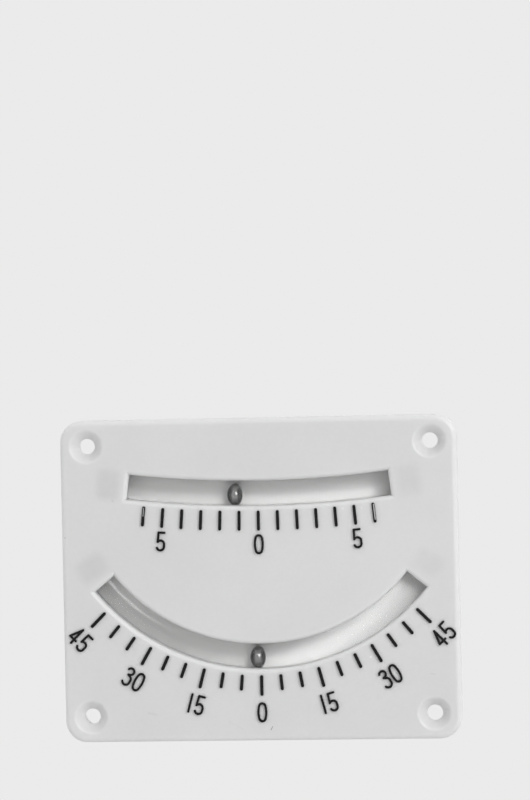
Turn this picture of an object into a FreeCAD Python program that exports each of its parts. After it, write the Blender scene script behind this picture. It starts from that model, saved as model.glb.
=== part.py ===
import FreeCAD, Part
import math
import os

# Two-scale ball clinometer for a bulkhead: a moulded white housing, two curved tubes filled with damping
# liquid, a steel ball in each, and a rear cover that holds the tubes.
# Frame: +X to the right and +Z up as the scales are read, -Y out of the face. The origin is the centre of
# the rear face, which lies on the bulkhead. Angles are readings: 0 at an arc's lowest point, + to the right.

V = FreeCAD.Vector

# ---- driving dimensions, mm and degrees ----

# housing
plate_width = 101.0
plate_height = 82.0
corner_radius = 5.5
front_edge_round = 1.3
front_wall = 2.2
skirt_wall = 2.0
window_wall = 0.95          # wall left in front of a stopper
channel_wall = 1.3          # wall beside a tube
channel_parting = 0.1       # between the housing's channels and the cover's cradles
ledge_width = 1.0           # seat of the rear cover inside the skirt

# mounting holes
hole_inset_x = 6.75
hole_inset_z = 6.5
hole_diameter = 4.0
hole_land = 1.0             # straight part of the bore, behind the countersink
hole_relief_diameter = 6.0  # at the rear face, where the bore has widened
countersink_diameter = 8.3
hole_boss_wall = 0.8
web_thickness = 1.2

# rear cover and its screws
cover_thickness = 1.6
cover_clearance = 0.15
cover_screw_inset = 6.5
cover_screw_side_z = -12.0
cover_screw_middle_x = 18.0
screw_diameter = 2.2
screw_length = 6.5
screw_head_diameter = 3.9
screw_head_height = 1.15
screw_recess_depth = 0.6
screw_recess_width = 0.55
screw_recess_span = 2.5
screw_fit = 0.03
screw_boss_wall = 1.4
screw_pilot_spare = 0.6     # blind depth past the screw's tip

# tubes, stoppers and balls
tube_diameter = 7.0
tube_wall = 1.05
tube_fit = 0.05
ball_clearance = 0.9        # bore diameter less ball diameter
ball_seat_gap = 0.05        # between the ball and the low side of the bore
liquid_film = 0.02          # between the ball and the liquid's own surface
stopper_sleeve_wall = 0.5
stopper_sleeve = 3.3
stopper_head = 2.0
stopper_setback = 2.3       # from a slot's end to the stopper behind the wall
stopper_clearance = 0.1
slot_lip = 0.3              # how far the slot's edge stands over the tube, each side
slot_edge_round = 1.1
ball_reading = -1.3         # where both balls stand with the plate leaning 1.3 degrees

# arcs of the two tubes, along their centre lines: a slot's half angle and the room from its end to the
# plate's side give the arc's radius
fine_slot_half_angle = 7.0
fine_slot_side_room = 17.08
fine_arc_drop = 19.05       # lowest point of the centre line, below the plate's top edge
coarse_slot_half_angle = 51.0
coarse_slot_side_room = 10.63
coarse_arc_rise = 21.45     # lowest point of the centre line, above the plate's bottom edge

# marks: each is a moulded rib with a cap of black foil
rib_height = 0.4
foil_thickness = 0.1
rib_shoulder = 0.04
fine_line_angle = 1.0
fine_last_angle = 6.0
fine_line_length = 5.1
fine_line_width = 0.78
fine_line_gap = 1.2         # from the slot's throat to the lines
fine_numeral_gap = 0.9      # from the lines to the numerals
fine_numeral_angle = 5.0
coarse_line_angle = 5.0
coarse_last_angle = 45.0
coarse_long_line_length = 5.25
coarse_short_line_length = 4.1
coarse_line_width = 0.82
coarse_line_gap = 1.5
coarse_numeral_gap = 1.65
coarse_numeral_angle = 15.0

# numerals, drawn with one stroke width; widths and heights are over the stroke
digit_height = 5.1
digit_stroke = 0.58
digit_gap = 0.45
zero_width = 2.57
zero_end_radius = 0.8
one_side_gap = 0.5          # extra room on each side of the narrow 1
bowl_width = 2.41           # the large round part of 2, 3, 5, 6, 7, 8 and 9
bowl_height = 3.1
bow_width = 2.24            # the small upper round part of 3 and 8
tail_angle = 158.0          # where an open round part ends, from its 3 o'clock side
two_slope_angle = 40.0      # where the round part of 2 runs into its slope
three_waist_angle = 62.0    # where the upper part of 3 turns in to the waist
three_bowl_angle = 80.0
three_spur_x = -0.25
four_width = 2.57
four_stem_x = 0.4
four_bar_z = -1.07
five_bowl_angle = 148.0
five_stem_x = -0.66
five_flag_x = 0.8
six_tip_x = 0.5
seven_foot_x = -0.45

# ---- sizes that follow ----

tube_radius = tube_diameter / 2
bore_radius = tube_radius - tube_wall
ball_radius = bore_radius - ball_clearance / 2
stopper_radius = tube_radius + stopper_sleeve_wall
stopper_length = stopper_sleeve + stopper_head
slot_half_width = tube_radius - slot_lip
hole_radius = hole_diameter / 2
hole_boss_radius = hole_relief_diameter / 2 + hole_boss_wall
hole_x = plate_width / 2 - hole_inset_x
hole_z = plate_height / 2 - hole_inset_z
cover_front_y = -cover_thickness
tube_y = cover_front_y - stopper_clearance - stopper_radius
body_depth = window_wall + stopper_clearance + stopper_radius - tube_y
wall_rear_y = front_wall - body_depth
rib_top_y = -body_depth - rib_height
foil_top_y = rib_top_y - foil_thickness
screw_radius = screw_diameter / 2
screw_boss_radius = screw_radius + screw_boss_wall
stroke_half = digit_stroke / 2
digit_top = digit_height / 2 - stroke_half
bowl_half = bowl_width / 2 - stroke_half
bow_half = bow_width / 2 - stroke_half
four_half = four_width / 2 - stroke_half
bowl_top = bowl_height - digit_stroke - digit_top
sink = 0.5                  # how far a cutter or a root runs past the face it starts from


class Scale:
    """One arc: its centre height, its radius, the angles along it and its rows of marks."""

    def __init__(self, low_z, half_angle, side_room, last_angle, line_gap, long_length, numeral_gap):
        self.radius = (plate_width / 2 - side_room) / math.sin(math.radians(half_angle))
        self.centre_z = low_z + self.radius
        self.slot_end = half_angle
        self.stopper_start = half_angle + self.angle(stopper_setback)
        self.tube_end = half_angle + self.angle(stopper_setback + stopper_sleeve)
        self.stopper_end = half_angle + self.angle(stopper_setback + stopper_length)
        self.last_angle = last_angle
        self.ball_radius_of_travel = self.radius + bore_radius - ball_radius - ball_seat_gap
        self.line_radius = self.radius + slot_half_width + line_gap
        self.numeral_radius = self.line_radius + long_length + numeral_gap + digit_height / 2

    def angle(self, arc):
        """Angle in degrees that a length along the centre line spans."""
        return math.degrees(arc / self.radius)

    def point(self, angle, radius, y):
        """Point at a reading, at a distance from the arc's centre."""
        a = math.radians(angle)
        return V(radius * math.sin(a), y, self.centre_z - radius * math.cos(a))

    def readings(self, step):
        """Every multiple of the step up to the last reading on each side, left to right."""
        count = round(self.last_angle / step)
        if count * step > self.last_angle:
            count -= 1
        return [step * i for i in range(-count, count + 1)]


def fine_scale():
    low_z = plate_height / 2 - fine_arc_drop
    return Scale(low_z, fine_slot_half_angle, fine_slot_side_room, fine_last_angle,
                 fine_line_gap, fine_line_length, fine_numeral_gap)


def coarse_scale():
    low_z = coarse_arc_rise - plate_height / 2
    return Scale(low_z, coarse_slot_half_angle, coarse_slot_side_room, coarse_last_angle,
                 coarse_line_gap, coarse_long_line_length, coarse_numeral_gap)


# ---- basic shapes ----

def rounded_slab(width, height, corner, y_front, y_rear):
    """Upright slab with rounded corners, from y_front back to y_rear, centred on X and Z."""
    slab = Part.makeBox(width, y_rear - y_front, height, V(-width / 2, y_front, -height / 2))
    upright = [e for e in slab.Edges if abs(e.Vertexes[0].Y - e.Vertexes[1].Y) > sink]
    return slab.makeFillet(corner, upright)


def pin(radius, y_front, y_rear, x, z):
    """Round pin along Y."""
    return Part.makeCylinder(radius, y_rear - y_front, V(x, y_front, z), V(0, 1, 0))


def swept(scale, face, first, last):
    """A face that stands at the reading 'first', carried round the arc's centre to 'last'."""
    return face.revolve(V(0, 0, scale.centre_z), V(0, -1, 0), last - first)


def arc_rod(scale, radius, first, last):
    """Round bar bent along a tube's centre line."""
    a = math.radians(first)
    centre = scale.point(first, scale.radius, tube_y)
    rim = Part.makeCircle(radius, centre, V(math.cos(a), 0, math.sin(a)))
    return swept(scale, Part.Face(Part.Wire(rim)), first, last)


def arc_band(scale, inner, outer, first, last, y_front, y_rear):
    """Flat band between two radii about the arc's centre, with ends along the radius."""
    corners = [scale.point(first, inner, y_front), scale.point(first, outer, y_front),
               scale.point(first, outer, y_rear), scale.point(first, inner, y_rear)]
    outline = Part.makePolygon(corners + corners[:1])
    return swept(scale, Part.Face(outline), first, last)


# ---- tubes, liquid, balls and stoppers ----

def tube(scale):
    """Clear tube, open at both ends."""
    wall = arc_rod(scale, tube_radius, -scale.tube_end, scale.tube_end)
    return wall.cut(arc_rod(scale, bore_radius, -scale.tube_end, scale.tube_end))


def ball_centre(scale):
    """The ball stands on the low side of the bore."""
    return scale.point(ball_reading, scale.ball_radius_of_travel, tube_y)


def ball(scale):
    return Part.makeSphere(ball_radius, ball_centre(scale))


def fluid(scale):
    """Liquid that fills the bore from stopper to stopper, with the ball in it."""
    column = arc_rod(scale, bore_radius, -scale.stopper_start, scale.stopper_start)
    return column.cut(Part.makeSphere(ball_radius + liquid_film, ball_centre(scale)))


def stopper(scale, side):
    """Rubber stopper: a plug in the bore, a sleeve over the tube's end and a solid head. side is -1 or 1."""
    start, mouth, end = scale.stopper_start, scale.tube_end, scale.stopper_end

    def rod(radius, last):
        if side < 0:
            return arc_rod(scale, radius, -last, -start)
        return arc_rod(scale, radius, start, last)

    seat = rod(tube_radius, mouth).cut(rod(bore_radius, mouth))
    return rod(stopper_radius, end).cut(seat)


# ---- numerals ----

def line(x0, z0, x1, z1):
    return Part.LineSegment(V(x0, 0, z0), V(x1, 0, z1)).toShape()


def arc(x, z, radius, first, last):
    """Circular stroke about (x, z) from one polar angle to another, in degrees."""
    def at(angle):
        a = math.radians(angle)
        return V(x + radius * math.cos(a), 0, z + radius * math.sin(a))
    return Part.Arc(at(first), at((first + last) / 2), at(last)).toShape()


def bar(x0, z0, x1, z1, half):
    """Straight stroke with round ends, as a flat face."""
    along = V(x1 - x0, 0, z1 - z0).normalize()
    side = V(-along.z, 0, along.x) * half
    start, end = V(x0, 0, z0), V(x1, 0, z1)
    edges = [
        Part.LineSegment(start - side, end - side).toShape(),
        Part.Arc(end - side, end + along * half, end + side).toShape(),
        Part.LineSegment(end + side, start + side).toShape(),
        Part.Arc(start + side, start - along * half, start - side).toShape(),
    ]
    return Part.Face(Part.Wire(edges))


def stroke(edges, half):
    """Stroke of one width along joined lines and arcs, with round ends, as a flat face."""
    return Part.Face(Part.Wire(edges).makeOffset2D(half, 0, False, False))


def bowl(first):
    """The open round lower part of 3 and 5, from its start at a polar angle round to its tail."""
    high = bowl_top - bowl_half
    low = bowl_half - digit_top
    side = line(bowl_half, high, bowl_half, low)
    return [arc(0, high, bowl_half, first, 0), side, arc(0, low, bowl_half, 0, -tail_angle)]


def ring(edges, half):
    """Stroke of one width along a closed line, as a flat face with a hole."""
    wire = Part.Wire(edges)
    return Part.Face(wire.makeOffset2D(half)).cut(Part.Face(wire.makeOffset2D(-half)))


def loop(a, low, high, half):
    """Closed round part between two heights: a half circle at each end and straight sides."""
    left = line(-a, high - a, -a, low + a)
    right = line(a, low + a, a, high - a)
    return ring([arc(0, high - a, a, 0, 180), left, arc(0, low + a, a, 180, 360), right], half)


def digit_zero(half):
    """Oval of four arcs: two round ends joined by two long sides, each arc tangent to the next."""
    a, b, r = zero_width / 2 - stroke_half, digit_top, zero_end_radius
    side = (a * a + b * b - 2 * b * r) / (2 * (a - r))
    turn = math.degrees(math.asin((b - r) / (side - r)))
    return ring([
        arc(0, b - r, r, turn, 180 - turn),
        arc(side - a, 0, side, 180 - turn, 180 + turn),
        arc(0, r - b, r, 180 + turn, 360 - turn),
        arc(a - side, 0, side, -turn, turn),
    ], half)


def digit_one(half):
    return bar(0, -digit_top, 0, digit_top, half)


def digit_two(half):
    """An upper round part that runs down into a slope, and a foot."""
    bow = arc(0, digit_top - bowl_half, bowl_half, tail_angle, -two_slope_angle)
    end = bow.Vertexes[1].Point
    slope = line(end.x, end.z, -bowl_half, -digit_top)
    return stroke([bow, slope, line(-bowl_half, -digit_top, bowl_half, -digit_top)], half)


def digit_three(half):
    """A small upper round part and the lower bowl, meeting in a short spur left of the middle."""
    low_bowl = bowl(three_bowl_angle)
    start = low_bowl[0].Vertexes[0].Point
    bow = arc(0, digit_top - bow_half, bow_half, tail_angle, -three_waist_angle)
    end = bow.Vertexes[1].Point
    spur = V(three_spur_x, 0, (start.z + end.z) / 2)
    top = stroke([bow, line(end.x, end.z, spur.x, spur.z)], half)
    bottom = stroke([line(spur.x, spur.z, start.x, start.z)] + low_bowl, half)
    return top.fuse(bottom)


def digit_four(half):
    """Closed top: a long slope from the apex, a crossbar and a full-height stem."""
    slope = bar(four_stem_x, digit_top, -four_half, four_bar_z, half)
    crossbar = bar(-four_half, four_bar_z, four_half, four_bar_z, half)
    return slope.fuse([crossbar, bar(four_stem_x, digit_top, four_stem_x, -digit_top, half)])


def digit_five(half):
    """Flag, stem and bowl in one stroke."""
    low_bowl = bowl(five_bowl_angle)
    start = low_bowl[0].Vertexes[0].Point
    flag = line(five_flag_x, digit_top, five_stem_x, digit_top)
    return stroke([flag, line(five_stem_x, digit_top, start.x, start.z)] + low_bowl, half)


def digit_six(half):
    """A closed bowl with a slope that leans over it."""
    slope = bar(-bowl_half, bowl_top - bowl_half, six_tip_x, digit_top, half)
    return loop(bowl_half, -digit_top, bowl_top, half).fuse(slope)


def digit_seven(half):
    """A flag and a slope in one stroke."""
    flag = line(-bowl_half, digit_top, bowl_half, digit_top)
    return stroke([flag, line(bowl_half, digit_top, seven_foot_x, -digit_top)], half)


def digit_eight(half):
    """Two loops, the lower one larger."""
    return loop(bowl_half, -digit_top, bowl_top, half).fuse(loop(bow_half, bowl_top, digit_top, half))


def digit_nine(half):
    """A six turned upside down."""
    return digit_six(half).rotate(V(0, 0, 0), V(0, 1, 0), 180)


DIGITS = {
    "0": (digit_zero, zero_width),
    "1": (digit_one, digit_stroke + 2 * one_side_gap),
    "2": (digit_two, bowl_width),
    "3": (digit_three, bowl_width),
    "4": (digit_four, four_width),
    "5": (digit_five, bowl_width),
    "6": (digit_six, bowl_width),
    "7": (digit_seven, bowl_width),
    "8": (digit_eight, bowl_width),
    "9": (digit_nine, bowl_width),
}


def numeral_faces(text, half):
    """The digits of a number side by side, centred on their own middle."""
    widths = [DIGITS[c][1] for c in text]
    x = -(sum(widths) + digit_gap * (len(text) - 1)) / 2
    faces = []
    for c, width in zip(text, widths):
        face = DIGITS[c][0](half)
        face.translate(V(x + width / 2, 0, 0))
        faces.append(face)
        x += width + digit_gap
    return faces


# ---- rows of marks ----

def thick_mark(face, y_front, y_rear):
    """A flat outline in the XZ plane made into a solid between two depths."""
    flat = face.removeSplitter()
    flat.translate(V(0, y_rear, 0))
    return flat.extrude(V(0, y_front - y_rear, 0))


def on_scale(scale, solid, reading):
    """Turn a mark that stands at zero round the arc's centre to its reading."""
    return solid.rotate(V(0, 0, scale.centre_z), V(0, -1, 0), reading)


def line_marks(scale, readings, length, width, spread, y_front, y_rear):
    """Scale lines with round ends that all start at the same distance from the slot."""
    half = width / 2
    inner = scale.centre_z - scale.line_radius - half
    outer = inner - length + width
    marks = []
    for reading in readings:
        face = bar(0, inner, 0, outer, half + spread)
        marks.append(on_scale(scale, thick_mark(face, y_front, y_rear), reading))
    return marks


def numeral_marks(scale, readings, spread, y_front, y_rear):
    """Numbers under their lines, each turned with the arc."""
    centre = V(0, 0, scale.centre_z - scale.numeral_radius)
    marks = []
    for reading in readings:
        for face in numeral_faces(str(int(abs(reading))), stroke_half + spread):
            face.translate(centre)
            marks.append(on_scale(scale, thick_mark(face, y_front, y_rear), reading))
    return marks


def is_multiple(reading, step):
    return abs(reading / step - round(reading / step)) < 1e-6


def mark_rows(fine, coarse):
    """Every row of marks: node name, the function that makes it and its arguments."""
    degrees = fine.readings(fine_line_angle)
    fives = coarse.readings(coarse_line_angle)
    long_ones = [a for a in fives if is_multiple(a, coarse_numeral_angle)]
    short_ones = [a for a in fives if not is_multiple(a, coarse_numeral_angle)]
    rows = {
        "fine_lines": (line_marks, fine, degrees, fine_line_length, fine_line_width),
        "coarse_long_lines": (line_marks, coarse, long_ones, coarse_long_line_length, coarse_line_width),
        "coarse_short_lines": (line_marks, coarse, short_ones, coarse_short_line_length, coarse_line_width),
    }
    for name, scale, step in (("fine", fine, fine_numeral_angle), ("coarse", coarse, coarse_numeral_angle)):
        for reading in scale.readings(step):
            if reading == 0:
                rows[name + "_numeral_0"] = (numeral_marks, scale, [0.0])
            elif reading > 0:
                pair = [-reading, reading]
                rows["%s_numerals_%d" % (name, reading)] = (numeral_marks, scale, pair)
    return rows


def made_row(row, spread, y_front, y_rear):
    return row[0](*row[1:], spread, y_front, y_rear)


# ---- housing ----

def hole_places():
    return [(sx * hole_x, sz * hole_z) for sx in (-1, 1) for sz in (-1, 1)]


def cover_screw_places():
    top = plate_height / 2 - cover_screw_inset
    side = plate_width / 2 - cover_screw_inset
    middle_z = (coarse_arc_rise - fine_arc_drop) / 2
    places = [(0, top), (0, -top)]
    for s in (-1, 1):
        places += [(s * side, cover_screw_side_z), (s * cover_screw_middle_x, middle_z)]
    return places


def shell():
    """The bare moulding: front wall, skirt, and the ledge for the cover inside the skirt's rear."""
    body = rounded_slab(plate_width, plate_height, corner_radius, -body_depth, 0)
    rim = [e for e in body.Edges if e.BoundBox.YMax < sink - body_depth]
    body = body.makeFillet(front_edge_round, rim)
    inner = 2 * skirt_wall
    cavity = rounded_slab(plate_width - inner, plate_height - inner, corner_radius - skirt_wall,
                          wall_rear_y, 0)
    seat = 2 * (skirt_wall - ledge_width)
    rebate = rounded_slab(plate_width - seat, plate_height - seat, corner_radius - skirt_wall + ledge_width,
                          cover_front_y, 0)
    return body.cut([cavity, rebate])


def hole_boss(x, z):
    """Tubular boss for a mounting screw, tied to the skirt by two webs."""
    side_x = math.copysign(plate_width / 2 - skirt_wall, x)
    side_z = math.copysign(plate_height / 2 - skirt_wall, z)
    half = web_thickness / 2
    depth = cover_front_y - wall_rear_y
    web_x = Part.makeBox(abs(side_x - x), depth, web_thickness, V(min(x, side_x), wall_rear_y, z - half))
    web_z = Part.makeBox(web_thickness, depth, abs(side_z - z), V(x - half, wall_rear_y, min(z, side_z)))
    return [pin(hole_boss_radius, wall_rear_y - sink, 0, x, z), web_x, web_z]


def screw_boss(x, z):
    return pin(screw_boss_radius, wall_rear_y - sink, cover_front_y, x, z)


def tube_channel(scale, y_front, y_rear):
    """Block that holds half of a tube between two depths, wider round the stoppers."""
    side = tube_radius + channel_wall
    walls = [arc_band(scale, scale.radius - side, scale.radius + side, -scale.tube_end, scale.tube_end,
                      y_front, y_rear)]
    side = stopper_radius + stopper_clearance + channel_wall
    first = scale.stopper_start - scale.angle(stopper_clearance + channel_wall)
    last = scale.stopper_end + scale.angle(stopper_clearance + channel_wall)
    for a0, a1 in ((-last, -first), (first, last)):
        walls.append(arc_band(scale, scale.radius - side, scale.radius + side, a0, a1, y_front, y_rear))
    return walls


def slot_cutter(scale):
    """Slot through the front wall with its edges rounded towards the face."""
    half = slot_half_width
    face_y = -body_depth
    throat = arc_band(scale, scale.radius - half, scale.radius + half, -scale.slot_end, scale.slot_end,
                      face_y - sink, tube_y)
    wide = half + slot_edge_round
    reach = scale.slot_end + scale.angle(slot_edge_round)
    mouth = arc_band(scale, scale.radius - wide, scale.radius + wide, -reach, reach,
                     face_y - sink, face_y + slot_edge_round)
    return throat.fuse(mouth.cut(slot_lips(scale, wide, reach)))


def slot_lips(scale, wide, reach):
    """Four round bars: the edges of the wall that stay beside the slot, one along each side of it."""
    y = slot_edge_round - body_depth
    lips = []
    for radius in (scale.radius - wide, scale.radius + wide):
        a = math.radians(-reach)
        rim = Part.makeCircle(slot_edge_round, scale.point(-reach, radius, y), V(math.cos(a), 0, math.sin(a)))
        lips.append(swept(scale, Part.Face(Part.Wire(rim)), -reach, reach))
    for angle in (-reach, reach):
        foot = scale.point(angle, scale.radius - wide - slot_edge_round, y)
        top = scale.point(angle, scale.radius + wide + slot_edge_round, y)
        lips.append(Part.makeCylinder(slot_edge_round, (top - foot).Length, foot, top - foot))
    return lips


def tube_groove(scale):
    """Seat of a tube and its stoppers in the channel."""
    pocket = stopper_radius + stopper_clearance
    first = scale.stopper_start - scale.angle(stopper_clearance)
    last = scale.stopper_end + scale.angle(stopper_clearance)
    return [
        arc_rod(scale, tube_radius + tube_fit, -scale.tube_end, scale.tube_end),
        arc_rod(scale, pocket, -last, -first),
        arc_rod(scale, pocket, first, last),
    ]


def countersunk_hole(x, z):
    """Countersink, a short straight bore, and a relief that widens to the rear face."""
    depth = (countersink_diameter - hole_diameter) / 2
    relief_y = depth + hole_land - body_depth
    cone = Part.makeCone(countersink_diameter / 2, hole_radius, depth, V(x, -body_depth, z), V(0, 1, 0))
    relief = Part.makeCone(hole_radius, hole_relief_diameter / 2, -relief_y, V(x, relief_y, z), V(0, 1, 0))
    return [pin(hole_radius, -body_depth - sink, relief_y + sink, x, z), cone, relief]


def front_housing(fine, coarse, rows):
    """White moulding that carries everything: shell, bosses, channels, and a rib under each mark."""
    added = []
    for x, z in hole_places():
        added += hole_boss(x, z)
    added += [screw_boss(x, z) for x, z in cover_screw_places()]
    for scale in (fine, coarse):
        added += tube_channel(scale, wall_rear_y - sink, tube_y)
    for row in rows.values():
        added += made_row(row, rib_shoulder, rib_top_y, sink - body_depth)
    body = shell().fuse(added)

    outside = rounded_slab(plate_width, plate_height, corner_radius, rib_top_y, 0)
    removed = [slot_cutter(fine), slot_cutter(coarse)] + tube_groove(fine) + tube_groove(coarse)
    for x, z in hole_places():
        removed += countersunk_hole(x, z)
    pilot_end = screw_length + screw_pilot_spare
    for x, z in cover_screw_places():
        removed.append(pin(screw_radius + screw_fit, -pilot_end, sink, x, z))
    return body.cut(removed).common(outside).removeSplitter()


# ---- rear cover and its screws ----

def cradles(fine, coarse):
    """Blocks on the cover's front that close round the rear half of each tube, clear of the skirt."""
    front = tube_y + channel_parting
    blocks = []
    for scale in (fine, coarse):
        blocks += tube_channel(scale, front, cover_front_y + sink)
    grooves = tube_groove(fine) + tube_groove(coarse)
    edge = 2 * (skirt_wall + cover_clearance)
    inside = rounded_slab(plate_width - edge, plate_height - edge, corner_radius - skirt_wall, front, 0)
    return blocks[0].fuse(blocks[1:]).cut(grooves).common(inside)


def rear_cover(fine, coarse):
    """Cover that drops on the ledge, flush with the skirt, with clearance round the bosses."""
    edge = 2 * (skirt_wall - ledge_width + cover_clearance)
    corner = corner_radius - skirt_wall + ledge_width - cover_clearance
    plate = rounded_slab(plate_width - edge, plate_height - edge, corner, cover_front_y, 0)
    plate = plate.fuse(cradles(fine, coarse))
    cuts = []
    for x, z in hole_places():
        cuts.append(pin(hole_boss_radius + cover_clearance, cover_front_y - sink, sink, x, z))
    for x, z in cover_screw_places():
        cuts.append(pin(screw_radius + cover_clearance, cover_front_y - sink, sink, x, z))
        cuts.append(screw_head(x, z, screw_fit))
    return plate.cut(cuts).removeSplitter()


def screw_head(x, z, fit):
    """Countersunk head, flush with the cover's rear; fit makes the seat for it."""
    rim = screw_head_diameter / 2 + fit
    return Part.makeCone(rim, screw_radius + fit, screw_head_height, V(x, 0, z), V(0, -1, 0))


def cover_screw(x, z):
    """Self-tapping screw with a cross recess and a pointed tip."""
    tip = screw_radius
    body = screw_head(x, z, 0).fuse([
        pin(screw_radius, tip - screw_length, 0, x, z),
        Part.makeCone(screw_radius, 0, tip, V(x, tip - screw_length, z), V(0, -1, 0)),
    ])
    reach = screw_recess_span / 2
    half = screw_recess_width / 2
    cross = [
        Part.makeBox(2 * reach, screw_recess_depth, 2 * half, V(x - reach, -screw_recess_depth, z - half)),
        Part.makeBox(2 * half, screw_recess_depth, 2 * reach, V(x - half, -screw_recess_depth, z - reach)),
    ]
    return body.cut(cross)


# ---- files ----

def save(name, shapes):
    solids = []
    for shape in shapes:
        solids += shape.Solids
    result = solids[0] if len(solids) == 1 else Part.makeCompound(solids)
    if not result.isValid():
        raise ValueError("%s is not a valid solid" % name)
    result.exportStep("parts/%s.step" % name)


os.makedirs("parts", exist_ok=True)
fine = fine_scale()
coarse = coarse_scale()
rows = mark_rows(fine, coarse)

save("front_housing", [front_housing(fine, coarse, rows)])
save("rear_cover", [rear_cover(fine, coarse)])
save("rear_cover_screws", [cover_screw(x, z) for x, z in cover_screw_places()])
for name, scale in (("fine", fine), ("coarse", coarse)):
    save(name + "_tube", [tube(scale)])
    save(name + "_fluid", [fluid(scale)])
    save(name + "_ball", [ball(scale)])
    save(name + "_left_stopper", [stopper(scale, -1)])
    save(name + "_right_stopper", [stopper(scale, 1)])
for name, row in rows.items():
    save(name, made_row(row, 0, foil_top_y, rib_top_y))
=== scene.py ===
"""Two-scale ball clinometer for a bulkhead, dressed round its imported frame.

+X is to the right and +Z up as the scales are read, and the face looks along -Y. Shapes are worked out
in millimetres and turned into metres when their mesh is made.
"""
import math

import bmesh
import bpy
import numpy as np
from mathutils import Matrix, Vector
from mathutils.geometry import delaunay_2d_cdt


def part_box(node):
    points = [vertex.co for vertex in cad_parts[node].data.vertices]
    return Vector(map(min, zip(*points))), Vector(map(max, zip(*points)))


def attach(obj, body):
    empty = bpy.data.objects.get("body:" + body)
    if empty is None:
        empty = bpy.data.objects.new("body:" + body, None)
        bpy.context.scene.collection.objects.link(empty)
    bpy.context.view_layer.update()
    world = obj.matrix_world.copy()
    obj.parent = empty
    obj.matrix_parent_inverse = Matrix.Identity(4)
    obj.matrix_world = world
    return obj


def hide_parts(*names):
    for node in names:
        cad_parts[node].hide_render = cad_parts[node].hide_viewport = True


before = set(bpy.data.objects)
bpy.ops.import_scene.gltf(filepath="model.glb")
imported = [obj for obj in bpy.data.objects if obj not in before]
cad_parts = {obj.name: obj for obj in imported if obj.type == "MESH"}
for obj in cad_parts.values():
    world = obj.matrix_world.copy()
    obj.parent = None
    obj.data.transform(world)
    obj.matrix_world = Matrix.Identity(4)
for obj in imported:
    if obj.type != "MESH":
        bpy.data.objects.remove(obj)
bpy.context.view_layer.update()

mm = 0.001

# ---- the studio ----
# The plate hangs free before a lit pale panel, over a pale floor. A soft box on the right is the main
# light. A weaker lamp, above the camera and to its right, only draws the bright line along the tubes.
# The room is light all round and darker where the face looks.

camera_distance = 800.0
camera_azimuth, camera_elevation = math.radians(5.0), math.radians(4.0)
camera_aim = Vector((1.40, 0.0, 45.39))
camera_roll = math.radians(1.212)
camera_lens = 139.76

camera = bpy.data.objects.new("camera", bpy.data.cameras.new("camera"))
camera.data.lens = camera_lens
camera.data.sensor_width = 36.0
camera.data.clip_start, camera.data.clip_end = 0.01, 20.0
seen_from = camera_distance * Vector((
    math.sin(camera_azimuth) * math.cos(camera_elevation),
    -math.cos(camera_azimuth) * math.cos(camera_elevation),
    math.sin(camera_elevation),
))
camera.rotation_mode = "QUATERNION"
level = (camera_aim - seen_from).to_track_quat("-Z", "Y").to_matrix()
camera.rotation_quaternion = (level @ Matrix.Rotation(-camera_roll, 3, "Z")).to_quaternion()
camera.location = seen_from * mm
bpy.context.scene.collection.objects.link(camera)
bpy.context.scene.camera = camera
bpy.context.scene.view_settings.view_transform = "Standard"
# Light crosses a tube's walls and its liquid on the way in, and again on the way back to the eye.
bpy.context.scene.cycles.max_bounces = 32
bpy.context.scene.cycles.transmission_bounces = 32
bpy.context.scene.cycles.blur_glossy = 0.0


def soft_box(name, direction, distance, width, height, power):
    """An upright rectangular lamp that looks at the object's centre from a direction."""
    lamp = bpy.data.lights.new(name, "AREA")
    lamp.shape = "RECTANGLE"
    lamp.size, lamp.size_y, lamp.energy = width * mm, height * mm, power
    box = bpy.data.objects.new(name, lamp)
    towards = Vector(direction).normalized()
    box.location = towards * distance * mm
    box.rotation_euler = (-towards).to_track_quat("-Z", "Y").to_euler()
    bpy.context.scene.collection.objects.link(box)
    return box


lamp_distance = 1500.0
soft_box("key_soft_box", (0.630, -0.706, 0.310), lamp_distance, width=580.0, height=580.0, power=7.3)
glint = soft_box("glint_lamp", (0.30, -0.86, 0.385), lamp_distance, width=290.0, height=420.0, power=2.8)
glint.visible_diffuse = False

# The room's light falls from the first level to the second as the cosine between a direction and the
# face's own goes from the first share to the second.
room_light, front_light = 0.79, 0.48
fall_start, fall_end = 0.60, 0.95
room = bpy.data.worlds.new("room")
room.use_nodes = True
room_nodes, room_links = room.node_tree.nodes, room.node_tree.links
room_nodes["Background"].inputs["Color"].default_value = (1.0, 1.0, 1.0, 1.0)
direction = room_nodes.new("ShaderNodeTexCoord").outputs["Generated"]
frontward = room_nodes.new("ShaderNodeVectorMath")
frontward.operation = "DOT_PRODUCT"
frontward.inputs[1].default_value = (0.0, -1.0, 0.0)
fall = room_nodes.new("ShaderNodeMapRange")
fall.interpolation_type = "SMOOTHSTEP"
fall.inputs["From Min"].default_value = fall_start
fall.inputs["From Max"].default_value = fall_end
fall.inputs["To Min"].default_value = room_light
fall.inputs["To Max"].default_value = front_light
room_links.new(direction, frontward.inputs[0])
room_links.new(frontward.outputs["Value"], fall.inputs["Value"])
room_links.new(fall.outputs[0], room_nodes["Background"].inputs["Strength"])
bpy.context.scene.world = room


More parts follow.
